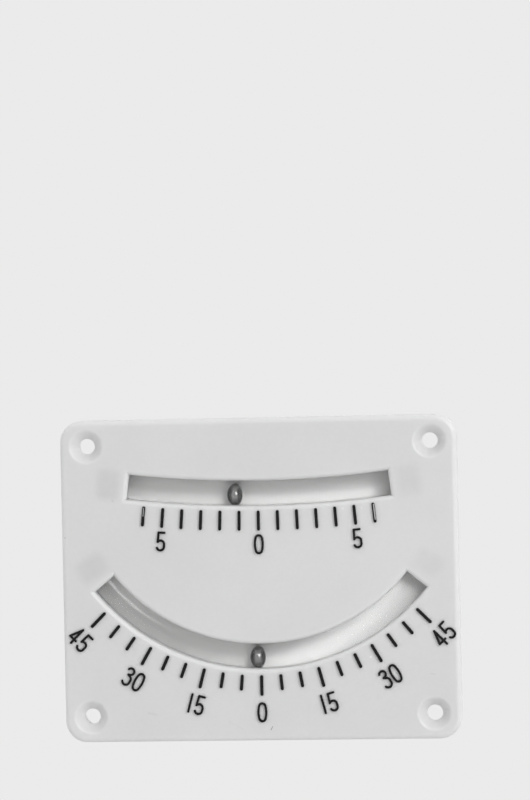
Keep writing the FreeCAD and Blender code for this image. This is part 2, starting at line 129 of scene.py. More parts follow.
def stage_panel(name, centre, across, up, colour, glow):
    """A matt rectangle that isn't part of the object: its centre plus or minus the vectors across and up.
    Where glow is above 0 it is lit from inside."""
    centre, across, up = (np.array(v, float) for v in (centre, across, up))
    low, high = centre - up, centre + up
    corners = [low - across, low + across, high + across, high - across]
    mesh = bpy.data.meshes.new(name)
    mesh.from_pydata([tuple(p * mm) for p in corners], [], [(0, 1, 2, 3)])
    panel = bpy.data.objects.new(name, mesh)
    bpy.context.scene.collection.objects.link(panel)
    paint = bpy.data.materials.new(name)
    paint.use_nodes = True
    shader = paint.node_tree.nodes["Principled BSDF"]
    shader.inputs["Base Color"].default_value = (colour, colour, colour, 1.0)
    shader.inputs["Roughness"].default_value = 0.9
    shader.inputs["Specular IOR Level"].default_value = 0.0
    shader.inputs["Emission Color"].default_value = (1.0, 1.0, 1.0, 1.0)
    shader.inputs["Emission Strength"].default_value = glow
    mesh.materials.append(paint)


stage_panel("backdrop", (0, 1900, 400), across=(2600, 0, 0), up=(0, 0, 1400), colour=0.02, glow=0.815)
stage_panel("floor", (0, 0, -1000), across=(2600, 0, 0), up=(0, 2600, 0), colour=0.75, glow=0.0)

# ---- front housing ----
# One white ABS moulding: front wall, skirt, ledge for the cover, a trough for each tube with its open
# slot, bosses for the screws, and a low rib under every mark.

case_low, case_high = (np.array(corner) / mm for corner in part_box("front_housing"))
plate_half = np.array([case_high[0], case_high[2]])
corner_radius = 5.5
front_round = 1.3
rear_round = 0.25
merge_within, thinnest = 0.002, 0.0005      # points this close become one, and such slivers go
support = 0.04              # flat ring beside a rounded edge, so that the flat face shades flat
rib_height, rib_root = 0.4, 0.6     # above the face, and sunk into it
rib_shoulder = 0.04         # how far a rib stands out round its mark
face_y = case_low[1] + rib_height
wall_rear_y = face_y + 2.2
tube_y = -5.7
cover_front_y = -1.6
skirt_wall, ledge_width = 2.0, 1.0
slot_half_width, slot_round = 3.2, 1.1
slot_steps = {"fine": 60, "coarse": 110}
tube_radius = 3.5
trough_radius = 3.55
channel_wall = 1.3
stopper_pocket = 4.1        # radius of a trough round a stopper
pocket_gap = 0.1            # between a stopper's end and its pocket's
stopper_from, tube_to, stopper_to = 2.3, 5.6, 7.6   # beyond the slot's end
hole_place = np.array([43.75, 34.5])
hole_radius, hole_land = 2.0, 1.0   # the straight bore, which then widens to the rear
relief_radius, boss_radius = 3.0, 3.8
countersink_radius, countersink_round, countersink_slope = 4.15, 0.9, 45.0
cone_foot = 0.1             # ease between the countersink and the bore
web_half = 0.6                      # half the thickness of the webs from a boss to the skirt
web_start, web_overlap = 3.0, 0.5   # from the hole's middle, and into the skirt
screw_boss_radius, pilot_radius, pilot_end = 2.5, 1.13, -7.1
screw_places = [(0, 34.5), (0, -34.5), (44, -12), (-44, -12), (18, 1.2), (-18, 1.2)]
hole_count, boss_count, pilot_count = 72, 48, 32    # points round each of these circles
mark_nodes = [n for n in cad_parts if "lines" in n or "numeral" in n]


def scale_arc(half_angle, side_room, low_z):
    """One tube's arc. Half its slot's reach over the sine of the slot's half angle is the radius, and the
    other angles lie beyond that one by a length over the radius."""
    radius = (plate_half[0] - side_room) / math.sin(math.radians(half_angle))
    step = math.degrees(1 / radius)
    return {
        "radius": radius, "centre_z": low_z + radius, "slot_end": half_angle, "per_mm": step,
        "stopper_start": half_angle + stopper_from * step, "tube_end": half_angle + tube_to * step,
        "stopper_end": half_angle + stopper_to * step,
    }


arcs = {
    "fine": scale_arc(half_angle=7.0, side_room=17.08, low_z=21.95),
    "coarse": scale_arc(half_angle=51.0, side_room=10.63, low_z=-19.55),
}


def beside(arc, angle, across, y):
    """Points beside a tube's line: turned by the angle from the arc's lowest point, then out by across."""
    a = np.radians(angle)
    out = arc["radius"] + across
    return np.stack(np.broadcast_arrays(out * np.sin(a), y, arc["centre_z"] - out * np.cos(a)), -1)


def grid_faces(rows, columns, around=False):
    """Quads between neighbouring points of a grid; around joins the last column to the first."""
    i = np.arange(rows - 1)[:, None] * columns
    j = np.arange(columns if around else columns - 1)[None, :]
    k = (j + 1) % columns
    return np.stack([i + j, i + k, i + columns + k, i + columns + j], -1).reshape(-1, 4)


def skin(points, around=False):
    """A patch over a grid of points, rows by columns by 3."""
    rows, columns = points.shape[:2]
    return points.reshape(-1, 3), grid_faces(rows, columns, around)


def quarter(radius, steps, end=90.0):
    """A rounded edge from its start to an angle: radius times the sine, and times one less the cosine."""
    t = np.radians(np.linspace(0.0, end, steps + 1))
    return radius * np.sin(t), radius * (1 - np.cos(t))


def rounded_outline(inset, steps=20):
    """Rounded rectangle in X and Z, the plate's outline moved in by the inset: a quarter circle round each
    corner's centre."""
    t = np.linspace(0, math.pi / 2, steps)
    corners = []
    for k, (sx, sz) in enumerate([(1, 1), (-1, 1), (-1, -1), (1, -1)]):
        centre = (plate_half - corner_radius) * (sx, sz)
        turn = t + k * math.pi / 2
        corners.append(centre + (corner_radius - inset) * np.stack([np.cos(turn), np.sin(turn)], -1))
    return np.concatenate(corners)


def circle(radius, x, z, count):
    """Centre plus the radius times the cosine in X and the sine in Z, at equal angles."""
    t = np.linspace(0, 2 * math.pi, count, endpoint=False)
    return np.stack([x + radius * np.cos(t), z + radius * np.sin(t)], -1)


def raised(outline, y):
    """Points of an X-Z outline at depth y."""
    return np.stack([outline[:, 0], np.full(len(outline), y), outline[:, 1]], -1)


def turned(profile, x, z, count):
    """A patch turned about an axis along Y: each radius and depth of the profile is one ring."""
    return skin(np.stack([raised(circle(r, x, z, count), y) for r, y in profile]), around=True)


def terraces(outlines, depth_of, foot=None):
    """A stepped surface over outlines in X and Z that may cross. depth_of gives a region's depth from the
    list of the outlines that cover it, or None where it stays open, and upright walls join the steps.
    With a foot the steps are closed to blocks: walls and a rear face at that depth."""
    points, faces = [], []
    for _, outline in outlines:
        x, z = outline.T
        anticlockwise = np.sum(x * np.roll(z, -1) - z * np.roll(x, -1)) > 0
        faces.append(list(range(len(points), len(points) + len(outline))))
        points += [Vector(p) for p in (outline if anticlockwise else outline[::-1])]
    # The plan is cut into triangles that no outline crosses, and covers lists the outlines over each.
    found = delaunay_2d_cdt(points, [], faces, 1, 1e-6, True)
    plan, triangles, covers = np.array([tuple(p) for p in found[0]]), found[2], found[5]
    depths = [depth_of([outlines[k][0] for k in cover]) if cover else None for cover in covers]
    levels = sorted({d for d in depths + [foot] if d is not None})
    step = {level: k * len(plan) for k, level in enumerate(levels)}
    made, sides = [], {}
    for triangle, depth in zip(triangles, depths):
        if depth is not None:
            made += [[step[y] + v for v in triangle] for y in (depth, foot) if y is not None]
        for a, b in zip(triangle, triangle[1:] + triangle[:1]):
            sides.setdefault((min(a, b), max(a, b)), []).append(depth)
    # An edge between two depths gets a wall, through every level that lies between them.
    for (a, b), pair in sides.items():
        if foot is not None:
            pair = [foot if y is None else y for y in (pair + [None])[:2]]
        if len(pair) == 2 and None not in pair and pair[0] != pair[1]:
            rungs = [step[y] for y in levels if min(pair) <= y <= max(pair)]
            made += [[r + a, r + b, s + b, s + a] for r, s in zip(rungs, rungs[1:])]
    return np.concatenate([raised(plan, y) for y in levels]), made


def make_piece(name, patches, sharp=35.0, finishes=None):
    """One closed mesh from patches in mm: doubles merged, faces turned outwards, smooth but for edges
    sharper than the given angle. finishes gives each patch's material slot."""
    points, faces, slots = [], [], []
    for k, (patch_points, patch_faces) in enumerate(patches):
        start = sum(len(p) for p in points)
        points.append(patch_points)
        faces += [[start + v for v in face] for face in np.array(patch_faces, object).tolist()]
        slots += [finishes[k] if finishes else 0] * len(patch_faces)
    mesh = bpy.data.meshes.new(name)
    mesh.from_pydata((np.concatenate(points) * mm).tolist(), [], faces)
    mesh.polygons.foreach_set("material_index", slots)
    made = bmesh.new()
    made.from_mesh(mesh)
    bmesh.ops.remove_doubles(made, verts=made.verts, dist=merge_within * mm)
    bmesh.ops.dissolve_degenerate(made, edges=made.edges, dist=thinnest * mm)
    bmesh.ops.recalc_face_normals(made, faces=made.faces)
    made.to_mesh(mesh)
    made.free()
    mesh.shade_smooth()
    mesh.set_sharp_from_angle(angle=math.radians(sharp))
    piece = bpy.data.objects.new(name, mesh)
    bpy.context.scene.collection.objects.link(piece)
    return piece


def mark_outlines(node, top_depth=0.01):
    """Closed X-Z outlines of a mark's printed top, read from the frame, each with the print on its left.
    The top is every face that lies within its depth of the foremost point."""
    top = bmesh.new()
    top.from_mesh(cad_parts[node].data)
    bmesh.ops.remove_doubles(top, verts=top.verts, dist=merge_within / 2 * mm)
    front = min(v.co.y for v in top.verts)
    printed = [f for f in top.faces if max(v.co.y for v in f.verts) < front + top_depth * mm]
    # A side with print on one hand only belongs to an outline, so each such point leads to the next.
    after = {}
    inside = set(printed)
    for face in printed:
        for loop in face.loops:
            if sum(f in inside for f in loop.edge.link_faces) == 1:
                after[loop.vert.index] = (loop.link_loop_next.vert.index, loop.vert.co.copy())
    outlines = []
    while after:
        here = next(iter(after))
        outline = []
        while here in after:
            onward, place = after.pop(here)
            outline.append((place.x / mm, place.z / mm))
            here = onward
        outlines.append(np.array(outline))
    top.free()
    return outlines


def grown(outline, by):
    """The outline moved away from the print: each point goes out along the mean normal of its sides."""
    before, after = outline - np.roll(outline, 1, 0), np.roll(outline, -1, 0) - outline
    before /= np.linalg.norm(before, axis=1)[:, None]
    after /= np.linalg.norm(after, axis=1)[:, None]
    along = before + after
    along /= np.linalg.norm(along, axis=1)[:, None]
    return outline + by * np.stack([-along[:, 1], along[:, 0]], -1)


def slot_path(long_steps, end_steps):
    """(u, v) once round a square from -1 to 1: u runs along the slot and v across it."""
    s = np.linspace(-1, 1, long_steps + 1)[:-1]
    t = np.linspace(-1, 1, end_steps + 1)[:-1]
    side, end = np.ones(long_steps), np.ones(end_steps)
    return np.concatenate([np.stack(uv, -1) for uv in ((s, side), (end, -t), (-s, -side), (-end, t))])


def slot_ring(arc, path, spread, y=None):
    """The slot's outline widened by spread on all sides, at depth y, or where it meets the trough's wall,
    which is the trough's radius from the tube's line."""
    reach = arc["slot_end"] + spread * arc["per_mm"]
    across = (slot_half_width + spread) * path[:, 1]
    if y is None:
        y = tube_y - np.sqrt(trough_radius ** 2 - across ** 2)
    return beside(arc, reach * path[:, 0], across, y)


def trough_end(arc):
    """Angles from a slot's end to the end of its trough, and the trough's radius at each: close round the
    tube, then wider round the stopper, with one more step for every 4 degrees."""
    step_at = arc["stopper_start"] - pocket_gap * arc["per_mm"]
    end_at = arc["stopper_end"] + pocket_gap * arc["per_mm"]
    steps = 3 + int((end_at - arc["slot_end"]) / 4)
    angles = np.concatenate([[arc["slot_end"], step_at], np.linspace(step_at, end_at, steps)])
    return angles, np.concatenate([[trough_radius, trough_radius], np.full(steps, stopper_pocket)])


def trough_line(arc, long_steps):
    """The same for a whole trough, from its left end to its right end."""
    beyond, wide = trough_end(arc)
    middle = arc["slot_end"] * np.linspace(-1, 1, long_steps + 1)
    angles = np.concatenate([-beyond[:0:-1], middle, beyond[1:]])
    return angles, np.concatenate([wide[:0:-1], np.full(long_steps + 1, trough_radius), wide[1:]])


def trough_wall(arc, angles, radii, turn):
    """Points on a trough's wall: turned about the tube's line from its front, at each angle along it."""
    radii, turn = radii[:, None], np.radians(turn)
    return beside(arc, angles[:, None], radii * np.sin(turn), tube_y - radii * np.cos(turn))


def trough_mouth(arc, angles, radii, turn, y):
    """The flat ends of a trough that opens at depth y, and its opening's outline in X and Z: along one
    side, round the end, and back along the other side."""
    ends, corners = [], []
    half_width = np.sqrt(radii ** 2 - (y - tube_y) ** 2)
    outward = np.argsort(np.sin(np.radians(turn)))
    for k, order in ((0, 1), (-1, -1)):
        curve = trough_wall(arc, angles[[k]], radii[[k]], turn[outward])[0]
        ends.append(skin(np.stack([curve, curve * (1, 0, 1) + (0, y, 0)])))
        corners.append(curve[::order][1:-1])
    outer_side = beside(arc, angles, half_width, y)
    inner_side = beside(arc, angles[::-1], -half_width[::-1], y)
    return ends, np.concatenate([outer_side, corners[1], inner_side, corners[0]])[:, [0, 2]]


def slot_and_trough(arc, long_steps, end_steps=16):
    """Patches of one slot: a rounded lip, upright throat, and the half-round trough for the tube with a
    wider pocket for a stopper at each end. Also the outlines that the face and the rear leave open."""
    path = slot_path(long_steps, end_steps)
    run, drop = quarter(slot_round, steps=14)
    rings = [slot_ring(arc, path, slot_round + support, face_y)]
    rings += [slot_ring(arc, path, slot_round - r, face_y + d) for r, d in zip(run, drop)]
    rings.append(slot_ring(arc, path, 0))
    rings = np.stack(rings)
    patches = [skin(rings, around=True)]

    half = math.degrees(math.asin(slot_half_width / trough_radius))
    side = np.linspace(half, 90, 7)
    under = np.degrees(np.arcsin(slot_half_width * np.linspace(-1, 1, end_steps + 1) / trough_radius))
    angles, radii = trough_line(arc, long_steps)
    patches += [skin(trough_wall(arc, angles, radii, s * side)) for s in (-1, 1)]
    beyond, wide = trough_end(arc)
    patches += [skin(trough_wall(arc, s * beyond, wide, under)) for s in (-1, 1)]
    every = np.concatenate([-side[::-1], under[1:-1], side])
    ends, opening = trough_mouth(arc, angles, radii, every, tube_y)
    return patches + ends, rings[0][:, [0, 2]], opening


def channel_outline(arc, steps, end_points=8):
    """Outline of the wall that stands round a trough, wider beside the stoppers: out along one side and
    back along the other."""
    room = (pocket_gap + channel_wall) * arc["per_mm"]
    middle = (arc["stopper_start"] - room) * np.linspace(-1, 1, steps)
    end = np.linspace(arc["stopper_start"] - room, arc["stopper_end"] + room, end_points)
    angles = np.concatenate([-end[::-1], middle, end])
    side = np.full(len(angles), stopper_pocket + channel_wall)
    side[end_points:-end_points] = tube_radius + channel_wall
    sides = [beside(arc, angles, side, 0), beside(arc, angles[::-1], -side[::-1], 0)]
    return np.concatenate(sides)[:, [0, 2]]


housing_patches = []
front_outlines = [("face", rounded_outline(front_round + support))]
rear_outlines = [("rim", rounded_outline(rear_round + support)), ("ledge", rounded_outline(ledge_width)),
                 ("cavity", rounded_outline(skirt_wall))]
ribs = [("rib", grown(outline, rib_shoulder)) for node in mark_nodes for outline in mark_outlines(node)]
for scale, steps in slot_steps.items():
    arc = arcs[scale]
    patches, mouth, opening = slot_and_trough(arc, steps)
    housing_patches += patches
    front_outlines.append(("open", mouth))
    rear_outlines += [("channel", channel_outline(arc, steps)), ("open", opening)]
for sx in (-1, 1):
    for sz in (-1, 1):
        x, z = hole_place * (sx, sz)
        run, drop = quarter(countersink_round, steps=4, end=countersink_slope)
        edge = countersink_radius + countersink_round * math.tan(math.radians(countersink_slope / 2))
        profile = [(edge + support, face_y)] + [(edge - r, face_y + d) for r, d in zip(run, drop)]
        cone_y = face_y + countersink_radius - hole_radius
        profile += [(hole_radius + cone_foot, cone_y - cone_foot), (hole_radius, cone_y + cone_foot),
                    (hole_radius, cone_y + hole_land), (relief_radius, 0.0)]
        housing_patches.append(turned(profile, x, z, hole_count))
        front_outlines.append(("open", circle(edge + support, x, z, hole_count)))
        rear_outlines.append(("boss", circle(boss_radius, x, z, hole_count)))
        rear_outlines.append(("open", circle(relief_radius, x, z, hole_count)))
        far = (plate_half - skirt_wall + web_overlap) * (sx, sz)
        near = (hole_place + web_start) * (sx, sz)
        for low, high in (((near[0], z - web_half), (far[0], z + web_half)),
                          ((x - web_half, near[1]), (x + web_half, far[1]))):
            rear_outlines.append(("web", np.array([low, (high[0], low[1]), high, (low[0], high[1])])))
for x, z in screw_places:
    pilot = [(pilot_radius, cover_front_y), (pilot_radius, pilot_end), (0, pilot_end)]
    housing_patches.append(turned(pilot, x, z, pilot_count))
    rear_outlines.append(("screw boss", circle(screw_boss_radius, x, z, boss_count)))
    rear_outlines.append(("open", circle(pilot_radius, x, z, pilot_count)))


def face_depth(cover):
    """The flat of the face, but for the slots and holes."""
    return None if "open" in cover else face_y


def rib_depth(cover):
    """The inside of a closed numeral is covered twice, and stays open."""
    return face_y - rib_height if len(cover) % 2 else None


def rear_depth(cover):
    """Inside the skirt the rearmost part wins: bare wall, channel, web or screw boss, then hole boss."""
    if "open" in cover:
        return None
    if "cavity" not in cover:
        return cover_front_y if "ledge" in cover else 0.0
    if "boss" in cover:
        return 0.0
    if "web" in cover or "screw boss" in cover:
        return cover_front_y
    return tube_y if "channel" in cover else wall_rear_y


run, drop = quarter(front_round, steps=12)
rim = [(front_round + support, face_y)] + [(front_round - r, face_y + d) for r, d in zip(run, drop)]
rim += [(0, face_y + front_round + support), (0, -rear_round - support)]
run, drop = quarter(rear_round, steps=5)
rim += [(d, r - rear_round) for r, d in zip(run, drop)] + [(rear_round + support, 0.0)]
housing_patches.append(skin(np.stack([raised(rounded_outline(i), y) for i, y in rim]), around=True))
housing_patches.append(terraces(front_outlines, face_depth))
housing_patches.append(terraces(ribs, rib_depth, face_y + rib_root))
housing_patches.append(terraces(rear_outlines, rear_depth))
housing = make_piece("front_housing_moulding", housing_patches)
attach(housing, "case")
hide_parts("front_housing")


class Finish:
    """A material, with short ways to add its nodes. Its patterns read Object coordinates, in metres."""

    def __init__(self, name):
        self.material = bpy.data.materials.new(name)
        self.material.use_nodes = True
        self.tree = self.material.node_tree
        self.shader = self.tree.nodes["Principled BSDF"]
        self.place = self.node("TexCoord").outputs["Object"]

    def node(self, kind, inputs=(), **settings):
        """A new node with its inputs and settings."""
        made = self.tree.nodes.new("ShaderNode" + kind)
        for key, value in settings.items():
            setattr(made, key, value)
        for key, value in dict(inputs).items():
            self.put(made.inputs[key], value)
        return made

    def put(self, socket, value):
        """Link a pattern to a socket, or set the socket to a plain value."""
        if isinstance(value, bpy.types.NodeSocket):
            self.tree.links.new(value, socket)
        else:
            socket.default_value = value

    def set(self, name, value):
        """The same for one of the surface's own sockets."""
        self.put(self.shader.inputs[name], value)

    def maths(self, operation, *values):
        """One step of arithmetic on patterns or numbers."""
        return self.node("Math", dict(enumerate(values)), operation=operation).outputs[0]

    def darkened(self, value, pattern, strength):
        """The value times one less the strength times the pattern."""
        share = self.maths("MULTIPLY", pattern, strength)
        return self.maths("MULTIPLY", value, self.maths("SUBTRACT", 1.0, share))

    def noise(self, size, detail, stretch=(1, 1, 1)):
        """Cloudy value from 0 to 1 with patches of about this size in mm."""
        place = self.node("Mapping", {"Vector": self.place, "Scale": stretch}).outputs[0]
        inputs = {"Vector": place, "Scale": 1 / (size * mm), "Detail": detail}
        return self.node("TexNoise", inputs).outputs["Fac"]

    def spread(self, value, low=0.0, high=1.0, start=0.3, end=0.7):
        """Smooth step from low to high as the value goes from start to end. A noise seldom leaves the
        usual start and end."""
        inputs = {"Value": value, "From Min": start, "From Max": end, "To Min": low, "To Max": high}
        return self.node("MapRange", inputs, interpolation_type="SMOOTHSTEP").outputs[0]

    def patch(self, x, z, turn, half_width, half_height, blur):
        """1 inside a turned rectangle on the face, fading to 0 over the blur: the product of two steps."""
        to_patch = self.node("Mapping", {
            "Vector": self.place, "Location": (x * mm, 0, z * mm), "Rotation": (0, turn, 0),
        }, vector_type="TEXTURE")
        parts = self.node("SeparateXYZ", {"Vector": to_patch.outputs[0]}).outputs
        sides = []
        for part, half in ((parts[0], half_width), (parts[2], half_height)):
            away = self.maths("ABSOLUTE", part)
            sides.append(self.spread(away, 1.0, 0.0, (half - blur) * mm, (half + blur) * mm))
        return self.maths("MULTIPLY", *sides)

    def blend(self, share, a, b):
        """Colour from a to b by share. The mix node's sockets 0, 6, 7 and 2 are its share, its two colours
        and its result."""
        mixed = self.node("Mix", data_type="RGBA")
        for socket, value in ((0, share), (6, a), (7, b)):
            self.put(mixed.inputs[socket], value)
        return mixed.outputs[2]

    def bumps(self, height, depth, below=None):
        """Normal of a height map whose 0 to 1 is this deep in mm, on top of the normal below."""
        inputs = {"Height": height, "Distance": depth * mm, "Strength": 1.0}
        if below is not None:
            inputs["Normal"] = below
        return self.node("Bump", inputs).outputs[0]

    def on(self, thing, slot=0):
        """Give the finish to one of a piece's material slots."""
        while len(thing.data.materials) <= slot:
            thing.data.materials.append(None)
        thing.data.materials[slot] = self.material


def grey(level):
    """A grey with equal red, green and blue."""
    return (level, level, level, 1.0)


plastic_white = 0.80
# Painted shade of a stopper seen faintly through the wall, put into the white's colour: its scale, its
# side and the share of darkening.
stopper_shade_patches = [("fine", -1, 0.10), ("fine", 1, 0.06), ("coarse", -1, 0.09), ("coarse", 1, 0.05)]
stopper_shade_half_length, stopper_shade_half_width, stopper_shade_blur = 2.7, 3.7, 1.4
# Specks and scratches from use, and painted glints: x, z, turn, half length, half width and share of
# darkening, which is less than 0 for a painted glint that makes the plastic brighter.
specks_and_glints = [(2.3, -37.8, -1.1, 0.55, 0.09, 0.55), (-28.2, -33.8, 0.2, 1.2, 0.25, 0.06),
          (-6.8, -37.0, 0.5, 2.2, 0.10, 0.05), (43.4, -24.5, 0.1, 0.7, 0.12, 0.10),
          (-49.6, 11.4, 0.0, 0.12, 0.12, 0.4), (-37.2, 20.6, 0.7, 0.25, 0.18, 0.12),
          (21.5, 17.7, 0.0, 0.2, 0.2, -0.12), (26.3, 17.7, 0.0, 0.2, 0.2, -0.10),
          (27.8, -20.0, 0.0, 0.2, 0.2, -0.24), (30.9, -21.6, 0.0, 0.15, 0.15, -0.12)]
# The white varies by a percent or so in broad clouds and in a fine mottle. The mould leaves low waves in
# the surface, and a fine grain on them.
white = Finish("white_moulded_plastic")
shade = white.spread(white.noise(26, 3), 0.985, 1.01)
shade = white.maths("MULTIPLY", shade, white.spread(white.noise(1.1, 4), 0.993, 1.007))
for scale, side, strength in stopper_shade_patches:
    arc = arcs[scale]
    angle = side * (arc["stopper_start"] + arc["stopper_end"]) / 2
    x, _, z = beside(arc, angle, 0, 0)
    # Painted shade over each stopper, beyond the slot's end, softened by a cloudy noise.
    stopper_shade = white.patch(float(x), float(z), -math.radians(angle), stopper_shade_half_length, stopper_shade_half_width,
                       stopper_shade_blur)
    stopper_shade = white.maths("MULTIPLY", stopper_shade, white.spread(white.noise(3, 2), 0.7, 1.0, start=0.2))
    shade = white.darkened(shade, stopper_shade, strength)
# Specks and scratches darken the white, and the painted glints lighten it.
for x, z, turn, half_length, half_width, strength in specks_and_glints:
    mark = white.patch(x, z, turn, half_length, half_width, half_width)
    shade = white.darkened(shade, mark, strength)
shade = white.maths("MULTIPLY", shade, plastic_white)
white.set("Base Color", white.blend(shade, grey(0.0), grey(1.0)))
white.set("Roughness", white.spread(white.noise(5, 4), 0.30, 0.40))
grain = white.bumps(white.noise(0.35, 3), 0.004)
white.set("Normal", white.bumps(white.noise(14, 2), 0.03, below=grain))
white.set("Subsurface Weight", 1.0)
white.set("Subsurface Radius", (1.0, 1.0, 1.0))
white.set("Subsurface Scale", 1.2 * mm)
white.on(housing)

# ---- tubes ----
# Two clear tubes bent to their arcs, a little hazy outside from the bending, and filled with damping
# liquid. The bore meets the liquid, whose index is close to the tube's, so the whole rod acts as one
# lens that magnifies the ball.

bore_radius = 2.45
tube_index = 1.49
tube_haze = 0.2
liquid_index = 1.44
end_round = 0.35
tube_steps = {"fine": 110, "coarse": 160}


def arc_turned(arc, angles, radii, count=72):
    """A patch turned about a tube's line: each angle along the arc has a ring of the given radius."""
    t = np.linspace(0, 2 * math.pi, count, endpoint=False)[None, :]
    angles, radii = np.asarray(angles, float)[:, None], np.asarray(radii, float)[:, None]
    return skin(beside(arc, angles, radii * np.sin(t), tube_y - radii * np.cos(t)), around=True)


def clear_finish(name, index, tint, roughness=0.0):
    """Clear solid; index is that of its inside over that of what lies in front of the face."""
    finish = Finish(name)
    finish.set("Base Color", tint)
    finish.set("Transmission Weight", 1.0)
    finish.set("IOR", index)
    finish.set("Roughness", roughness)
    return finish


outside = clear_finish("clear_tube_outside", tube_index, grey(0.985), tube_haze)
inside = clear_finish("clear_tube_bore", tube_index / liquid_index, grey(1.0))
for scale, steps in tube_steps.items():
    arc = arcs[scale]
    run, drop = quarter(end_round, steps=5)
    middle = arc["tube_end"] - end_round * arc["per_mm"]
    rounded = middle + run * arc["per_mm"]
    angles = np.concatenate([-rounded[::-1], middle * np.linspace(-1, 1, steps)[1:-1], rounded])
    taper = np.concatenate([drop[::-1], np.zeros(steps - 2), drop])
    outer, inner = tube_radius - taper, bore_radius + taper
    ends = [arc_turned(arc, [s * arc["tube_end"]] * 2, [outer[0], inner[0]]) for s in (-1, 1)]
    patches = [arc_turned(arc, angles, outer)] + ends + [arc_turned(arc, angles, inner)]
    tube = make_piece(scale + "_clear_tube", patches, finishes=[0, 0, 0, 1])
    outside.on(tube, 0)
    inside.on(tube, 1)
    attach(tube, "case")
    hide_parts(scale + "_tube")

# ---- damping liquid ----
# Clear oil that fills each bore between its stoppers. Its own surface is the tube's bore, which bends
# the light, so the column only gives the oil's faint tint.

liquid_gap = 0.01
oil_tint = (0.995, 0.995, 0.99, 1.0)
oil = clear_finish("damping_oil", 1.0, oil_tint)
for scale, steps in tube_steps.items():
    arc = arcs[scale]
    end = arc["stopper_start"] - liquid_gap * arc["per_mm"]
    angles = np.concatenate([[-end], end * np.linspace(-1, 1, steps), [end]])
    radii = np.full(steps + 2, bore_radius - liquid_gap)
    radii[[0, -1]] = 0
    liquid = make_piece(scale + "_damping_oil", [arc_turned(arc, angles, radii)])
    oil.on(liquid)
    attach(liquid, "case")
    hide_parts(scale + "_fluid")

# ---- balls ----
# One ground and polished steel ball in each tube, resting on the low side of the bore.

ball_radius = 2.0
ball_seat_gap = 0.05
ball_reading = -1.3
ball_rings, ball_points = 49, 96
steel_dark, steel_light = grey(0.36), grey(0.40)
# Lapping leaves faint bands, drawn out along X and Y.
steel = Finish("ground_steel")
lap = steel.noise(0.5, 4, (1, 1, 6))
steel.set("Base Color", steel.blend(steel.spread(lap), steel_dark, steel_light))
steel.set("Metallic", 0.8)
steel.set("Roughness", steel.spread(steel.noise(0.8, 3), 0.20, 0.24))
steel.set("Normal", steel.bumps(lap, 0.001))
# A sphere of radius 1: the rise goes from pole to pole, and the turn goes once round.
rise = np.radians(np.linspace(-90, 90, ball_rings))[:, None]
turn = np.radians(np.linspace(0, 360, ball_points, endpoint=False))[None, :]
surface = (np.cos(rise) * np.cos(turn), np.cos(rise) * np.sin(turn), np.sin(rise))
surface = np.stack(np.broadcast_arrays(*surface), -1)
for scale in ("fine", "coarse"):
    centre = beside(arcs[scale], ball_reading, bore_radius - ball_radius - ball_seat_gap, tube_y)
    ball = make_piece(scale + "_steel_ball", [skin(centre + ball_radius * surface, around=True)])
    steel.on(ball)
    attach(ball, scale + "_ball")
    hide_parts(scale + "_ball")

# ---- stoppers ----
# A black rubber stopper closes each end of a tube: a plug in the bore, a sleeve over the tube, and a
# solid head behind them, pushed on by hand before the tube goes into its trough.

stopper_radius = 4.0
stopper_length = stopper_to - stopper_from
plug_length = tube_to - stopper_from
lip_round = 0.3
rubber_black, rubber_bloom = grey(0.025), grey(0.05)
rubber = Finish("black_rubber")
bloom = rubber.noise(1.2, 4)
bloomed = rubber.spread(bloom, start=0.35, end=0.75)
rubber.set("Base Color", rubber.blend(bloomed, rubber_black, rubber_bloom))
rubber.set("Roughness", rubber.spread(bloom, 0.55, 0.75))
rubber.set("Normal", rubber.bumps(rubber.noise(0.25, 4), 0.01))
# The stopper's section, from the plug's middle to the head's: how far along the tube, and its radius.
run, drop = quarter(lip_round, steps=5)
lip = stopper_radius - lip_round
along = np.concatenate([[0, 0, plug_length, plug_length, 0, 0], drop, stopper_length - drop[::-1],
                        [stopper_length]])
radii = np.concatenate([[0, bore_radius, bore_radius, tube_radius, tube_radius, lip], lip + run,
                        lip + run[::-1], [0]])
for scale in ("fine", "coarse"):
    arc = arcs[scale]
    for side, name in ((-1, "left"), (1, "right")):
        angles = side * (arc["stopper_start"] + along * arc["per_mm"])
        stopper = make_piece("%s_%s_rubber_stopper" % (scale, name), [arc_turned(arc, angles, radii, 48)])
        rubber.on(stopper)
        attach(stopper, "case")
        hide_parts("%s_%s_stopper" % (scale, name))

# ---- printed marks ----
# Black foil pressed hot onto the top of each rib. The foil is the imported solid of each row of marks;
# its finish shows where the press missed a little.

foil_black = 0.006
miss_blur = 0.10
# The end lines took the foil badly: reading, mm past it, mm out from the tube's line, half width, half
# height, and the share of foil that is missing.
end_lines = ((-6, -0.02, 5.85, 0.10, 1.1, 0.60), (6, 0.12, 6.75, 0.11, 2.0, 0.78))


def foil_finish(name, misses=()):
    """Hot-stamped foil, bare where the press missed: each miss is a turned rectangle with ragged edges."""
    foil = Finish(name)
    crackle = foil.noise(0.30, 5)
    cover = foil.spread(crackle, 1.0, 0.93, start=0.70, end=0.85)
    for x, z, turn, half_width, half_height, strength in misses:
        bare = foil.patch(x, z, turn, half_width, half_height, miss_blur)
        ragged = foil.spread(foil.noise(0.7, 3), 0.6, 1.0, start=0.25, end=0.5)
        cover = foil.darkened(cover, foil.maths("MULTIPLY", bare, ragged), strength)
    foil.set("Base Color", foil.blend(cover, grey(plastic_white), grey(foil_black)))
    foil.set("Roughness", foil.spread(crackle, 0.35, 0.50))
    foil.set("Specular IOR Level", 0.25)
    foil.set("Normal", foil.bumps(foil.noise(0.5, 3), 0.006))
    return foil


